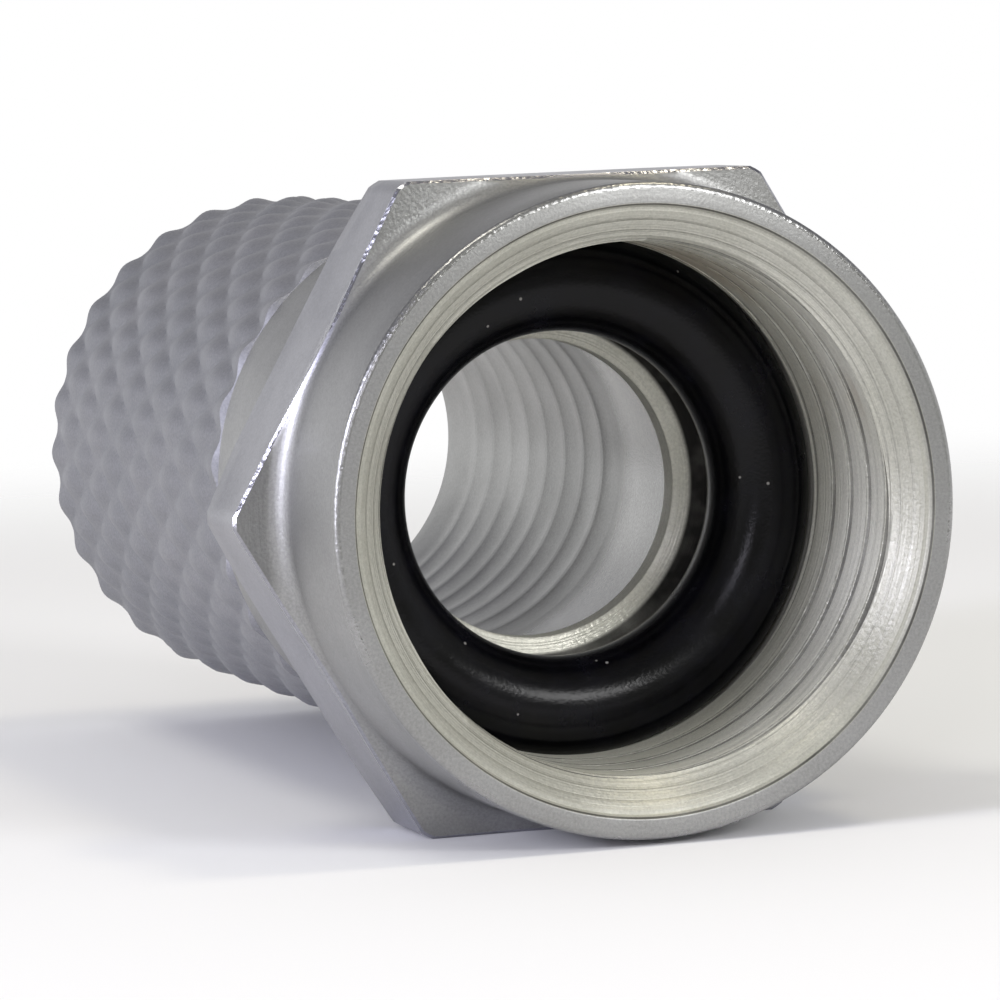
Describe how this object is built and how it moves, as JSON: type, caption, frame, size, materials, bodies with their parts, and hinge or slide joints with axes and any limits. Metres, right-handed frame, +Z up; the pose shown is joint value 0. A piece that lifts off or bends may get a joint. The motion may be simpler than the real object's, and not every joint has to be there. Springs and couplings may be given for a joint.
{
  "type": "f connector",
  "caption": "One-piece screw-on coaxial connector: threaded front socket with a rubber sealing ring, hexagonal collar, and a knurled barrel that takes the cable.",
  "frame": {"origin": "bottom centre of the bounding box: on the surface the connector lies on, under the middle of its length and width", "axes": "+Y along the connector's axis from the threaded front to the cable end, +Z up through two opposite flats of the hexagon, +X through two opposite corners"},
  "size_m": [0.0126, 0.0212, 0.0111],
  "materials": {
    "nickel_plated_brass": "bright nickel plate over turned and knurled brass",
    "black_rubber": "moulded, satin"
  },
  "bodies": {
    "root": {"connector_body": "nickel_plated_brass", "sealing_ring": "black_rubber"}
  },
  "joints": []
}
